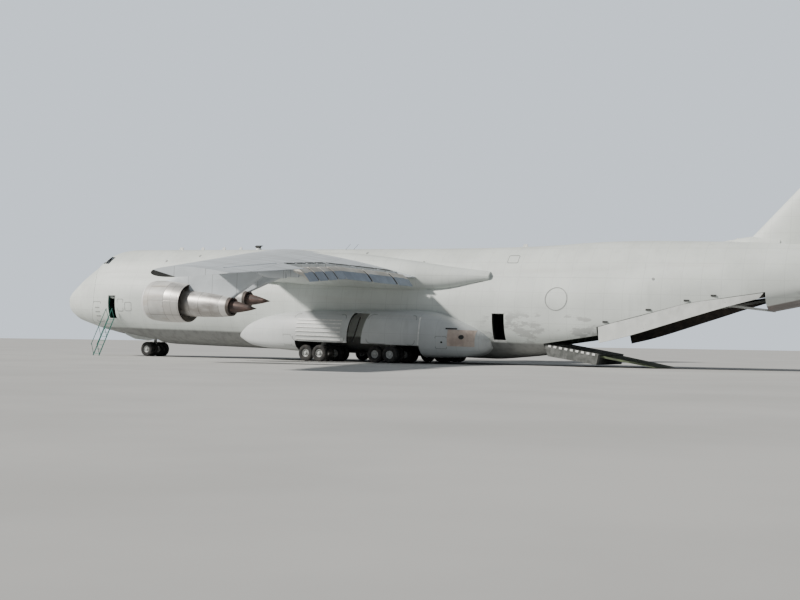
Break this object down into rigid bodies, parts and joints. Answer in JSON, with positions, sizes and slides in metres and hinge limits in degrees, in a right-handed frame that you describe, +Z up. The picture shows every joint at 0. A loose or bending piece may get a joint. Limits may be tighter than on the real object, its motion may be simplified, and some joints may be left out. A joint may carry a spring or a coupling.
{
  "type": "four-engined military transport aircraft, 1:2 scale model",
  "caption": "High-wing four-engined cargo jet with a T-tail, a lifting nose, an open rear ramp and side doors, kneeling on its many-wheeled gear.",
  "frame": {"origin": "on the ground under the middle of the bounding box", "axes": "+X towards the nose, +Y to the left wing tip, +Z up from the ground; the aircraft sits 1.3 degrees nose up"},
  "size_m": [37.906, 33.95, 9.1577],
  "materials": {
    "airframe_paint": "matt pale grey paint, weathered",
    "belly_paint": "matt mid grey paint, dirty",
    "ramp_paint": "worn dark grey anti-slip paint",
    "cowl_paint": "pale grey paint with bare metal bands",
    "fan_metal": "dark machined metal",
    "gear_paint": "white gloss paint, greasy",
    "tyre_rubber": "dusty black rubber with pale steel hubs",
    "cabin_glass": "dark clear glazing",
    "cabin_trim": "dark matt trim",
    "ladder_paint": "chipped turquoise paint"
  },
  "bodies": {
    "airframe": {"fuselage_centre": "airframe_paint", "fuselage_forward": "airframe_paint", "fuselage_aft": "airframe_paint", "cockpit_glass": "cabin_glass", "cockpit_interior": "cabin_trim", "forward_ramp": "ramp_paint", "troop_door_left": "airframe_paint", "crew_ladder": "ladder_paint", "wing_left": "airframe_paint", "wing_right": "airframe_paint", "wing_fairing_left": "airframe_paint", "wing_fairing_right": "airframe_paint", "nacelle_outboard_left": "cowl_paint", "nacelle_inboard_left": "cowl_paint", "nacelle_outboard_right": "cowl_paint", "nacelle_inboard_right": "cowl_paint", "fin": "airframe_paint", "tailplane": "airframe_paint", "main_gear_front_left": "gear_paint", "main_gear_rear_left": "gear_paint", "main_gear_front_right": "gear_paint", "main_gear_rear_right": "gear_paint", "gear_pod_left": "airframe_paint", "gear_pod_right": "airframe_paint", "nose_gear_leg": "gear_paint", "nose_gear_door_left": "gear_paint", "nose_gear_door_right": "gear_paint"},
    "visor": {"nose_visor": "airframe_paint"},
    "crew_door": {"crew_door": "airframe_paint"},
    "ramp": {"aft_ramp": "ramp_paint"},
    "ramp_toe": {"ramp_toe": "ramp_paint"},
    "petal_left": {"petal_door_left": "airframe_paint"},
    "petal_right": {"petal_door_right": "airframe_paint"},
    "centre_door": {"centre_cargo_door": "belly_paint"},
    "pressure_door": {"pressure_door": "belly_paint"},
    "flap_inboard_left": {"flap_inboard_left": "airframe_paint"},
    "flap_outboard_left": {"flap_outboard_left": "airframe_paint"},
    "flap_inboard_right": {"flap_inboard_right": "airframe_paint"},
    "flap_outboard_right": {"flap_outboard_right": "airframe_paint"},
    "aileron_left": {"aileron_left": "airframe_paint"},
    "aileron_right": {"aileron_right": "airframe_paint"},
    "fan_outboard_left": {"fan_outboard_left": "fan_metal"},
    "fan_inboard_left": {"fan_inboard_left": "fan_metal"},
    "fan_outboard_right": {"fan_outboard_right": "fan_metal"},
    "fan_inboard_right": {"fan_inboard_right": "fan_metal"},
    "rudder_lower": {"rudder_lower": "airframe_paint"},
    "rudder_upper": {"rudder_upper": "airframe_paint"},
    "elevator_left": {"elevator_left": "airframe_paint"},
    "elevator_right": {"elevator_right": "airframe_paint"},
    "nose_fork": {"nose_gear_fork": "gear_paint"},
    "nose_wheels": {"nose_wheels": "tyre_rubber"},
    "main_wheels_front_left_1": {"main_wheels_front_left_1": "tyre_rubber"},
    "main_wheels_front_left_2": {"main_wheels_front_left_2": "tyre_rubber"},
    "main_wheels_front_right_1": {"main_wheels_front_right_1": "tyre_rubber"},
    "main_wheels_front_right_2": {"main_wheels_front_right_2": "tyre_rubber"},
    "main_wheels_rear_left_1": {"main_wheels_rear_left_1": "tyre_rubber"},
    "main_wheels_rear_left_2": {"main_wheels_rear_left_2": "tyre_rubber"},
    "main_wheels_rear_right_1": {"main_wheels_rear_right_1": "tyre_rubber"},
    "main_wheels_rear_right_2": {"main_wheels_rear_right_2": "tyre_rubber"}
  },
  "joints": [
    {"name": "visor", "type": "hinge", "parent": "airframe", "child": "visor", "pos_m": [16.8145, 0, 4.04076], "axis": [0, -1, 0], "range_deg": [0, 70]},
    {"name": "crew_door", "type": "hinge", "parent": "airframe", "child": "crew_door", "pos_m": [15.22156, 1.604, 2.49922], "axis": [0.9997, 0, 0.0227], "range_deg": [0, 80]},
    {"name": "aft_ramp", "type": "hinge", "parent": "airframe", "child": "ramp", "pos_m": [-3.89174, 0, 0.77515], "axis": [0, 1, 0], "range_deg": [0, 17.7]},
    {"name": "toe_slide", "type": "slide", "parent": "ramp", "child": "ramp_toe", "axis": [0.9869, 0, 0.1616], "range_m": [0, 1.88]},
    {"name": "petal_left", "type": "hinge", "parent": "airframe", "child": "petal_left", "pos_m": [-5.8953, 1.72, 1.34984], "axis": [-0.9737, -0.0912, 0.2087], "range_deg": [0, 70]},
    {"name": "petal_right", "type": "hinge", "parent": "airframe", "child": "petal_right", "pos_m": [-5.8953, -1.72, 1.34984], "axis": [0.9737, -0.0912, -0.2087], "range_deg": [0, 70]},
    {"name": "centre_door", "type": "hinge", "parent": "airframe", "child": "centre_door", "pos_m": [-11.22049, 0, 1.95918], "axis": [0, 1, 0], "range_deg": [0, 17.5]},
    {"name": "pressure_door", "type": "hinge", "parent": "airframe", "child": "pressure_door", "pos_m": [-5.93706, 0, 2.74925], "axis": [0, 1, 0], "range_deg": [0, 90]},
    {"name": "flap_inboard_left", "type": "hinge", "parent": "airframe", "child": "flap_inboard_left", "pos_m": [1.46787, 2.35, 2.58716], "axis": [0.0287, 0.9996, 0.0005], "range_deg": [0, 22]},
    {"name": "flap_inboard_right", "type": "hinge", "parent": "airframe", "child": "flap_inboard_right", "pos_m": [1.46787, -2.35, 2.58716], "axis": [-0.0287, 0.9996, -0.0005], "range_deg": [0, 22]},
    {"name": "flap_outboard_left", "type": "hinge", "parent": "airframe", "child": "flap_outboard_left", "pos_m": [1.5787, 6.845, 2.58567], "axis": [-0.2424, 0.9676, -0.0711], "range_deg": [0, 22]},
    {"name": "flap_outboard_right", "type": "hinge", "parent": "airframe", "child": "flap_outboard_right", "pos_m": [1.5787, -6.845, 2.58567], "axis": [0.2424, 0.9676, 0.0711], "range_deg": [0, 22]},
    {"name": "aileron_left", "type": "hinge", "parent": "airframe", "child": "aileron_left", "pos_m": [0.71227, 11.05, 2.85915], "axis": [-0.3198, 0.9439, -0.0826], "range_deg": [-20, 20]},
    {"name": "aileron_right", "type": "hinge", "parent": "airframe", "child": "aileron_right", "pos_m": [0.71227, -11.05, 2.85915], "axis": [0.3198, 0.9439, 0.0826], "range_deg": [-20, 20]},
    {"name": "rudder_lower", "type": "hinge", "parent": "airframe", "child": "rudder_lower", "pos_m": [-14.19771, 0, 4.49229], "axis": [-0.5595, 0, 0.8289], "range_deg": [-25, 25]},
    {"name": "rudder_upper", "type": "hinge", "parent": "airframe", "child": "rudder_upper", "pos_m": [-15.47443, 0, 6.38381], "axis": [-0.5595, 0, 0.8289], "range_deg": [-25, 25]},
    {"name": "elevator_left", "type": "hinge", "parent": "airframe", "child": "elevator_left", "pos_m": [-16.81828, 0.45, 8.86396], "axis": [-0.2941, 0.9558, -0.0067], "range_deg": [-15, 20]},
    {"name": "elevator_right", "type": "hinge", "parent": "airframe", "child": "elevator_right", "pos_m": [-16.81828, -0.45, 8.86396], "axis": [0.2941, 0.9558, 0.0067], "range_deg": [-15, 20]},
    {"name": "fan_outboard_left", "type": "hinge", "parent": "airframe", "child": "fan_outboard_left", "pos_m": [6.58321, 9.45, 1.99811], "axis": [0.9977, 0, 0.068], "continuous": true},
    {"name": "fan_outboard_right", "type": "hinge", "parent": "airframe", "child": "fan_outboard_right", "pos_m": [6.58321, -9.45, 1.99811], "axis": [0.9977, 0, 0.068], "continuous": true},
    {"name": "fan_inboard_left", "type": "hinge", "parent": "airframe", "child": "fan_inboard_left", "pos_m": [8.43036, 6, 2.36511], "axis": [0.9977, 0, 0.068], "continuous": true},
    {"name": "fan_inboard_right", "type": "hinge", "parent": "airframe", "child": "fan_inboard_right", "pos_m": [8.43036, -6, 2.36511], "axis": [0.9977, 0, 0.068], "continuous": true},
    {"name": "nose_steering", "type": "hinge", "parent": "airframe", "child": "nose_fork", "pos_m": [14.25417, 0, 1.00689], "axis": [-0.0227, 0, 0.9997], "range_deg": [-60, 60]},
    {"name": "nose_wheels", "type": "hinge", "parent": "nose_fork", "child": "nose_wheels", "pos_m": [14.27007, 0, 0.306], "axis": [0, 1, 0], "continuous": true},
    {"name": "main_wheels_front_left_1", "type": "hinge", "parent": "airframe", "child": "main_wheels_front_left_1", "pos_m": [4.96507, 2.0875, 0.306], "axis": [0, 1, 0], "continuous": true},
    {"name": "main_wheels_front_left_2", "type": "hinge", "parent": "airframe", "child": "main_wheels_front_left_2", "pos_m": [4.24507, 2.0875, 0.306], "axis": [0, 1, 0], "continuous": true},
    {"name": "main_wheels_front_right_1", "type": "hinge", "parent": "airframe", "child": "main_wheels_front_right_1", "pos_m": [4.96507, -2.0875, 0.306], "axis": [0, 1, 0], "continuous": true},
    {"name": "main_wheels_front_right_2", "type": "hinge", "parent": "airframe", "child": "main_wheels_front_right_2", "pos_m": [4.24507, -2.0875, 0.306], "axis": [0, 1, 0], "continuous": true},
    {"name": "main_wheels_rear_left_1", "type": "hinge", "parent": "airframe", "child": "main_wheels_rear_left_1", "pos_m": [2.03507, 2.0875, 0.306], "axis": [0, 1, 0], "continuous": true},
    {"name": "main_wheels_rear_left_2", "type": "hinge", "parent": "airframe", "child": "main_wheels_rear_left_2", "pos_m": [1.31507, 2.0875, 0.306], "axis": [0, 1, 0], "continuous": true},
    {"name": "main_wheels_rear_right_1", "type": "hinge", "parent": "airframe", "child": "main_wheels_rear_right_1", "pos_m": [2.03507, -2.0875, 0.306], "axis": [0, 1, 0], "continuous": true},
    {"name": "main_wheels_rear_right_2", "type": "hinge", "parent": "airframe", "child": "main_wheels_rear_right_2", "pos_m": [1.31507, -2.0875, 0.306], "axis": [0, 1, 0], "continuous": true}
  ],
  "couplings": [
    {"joint": "toe_slide", "follows": "aft_ramp", "m_per_rad": 6.08},
    {"joint": "petal_right", "follows": "petal_left", "ratio": 1},
    {"joint": "flap_outboard_left", "follows": "flap_inboard_left", "ratio": 1},
    {"joint": "flap_inboard_right", "follows": "flap_inboard_left", "ratio": 1},
    {"joint": "flap_outboard_right", "follows": "flap_inboard_left", "ratio": 1},
    {"joint": "aileron_right", "follows": "aileron_left", "ratio": -1},
    {"joint": "rudder_upper", "follows": "rudder_lower", "ratio": 1},
    {"joint": "elevator_right", "follows": "elevator_left", "ratio": 1}
  ]
}
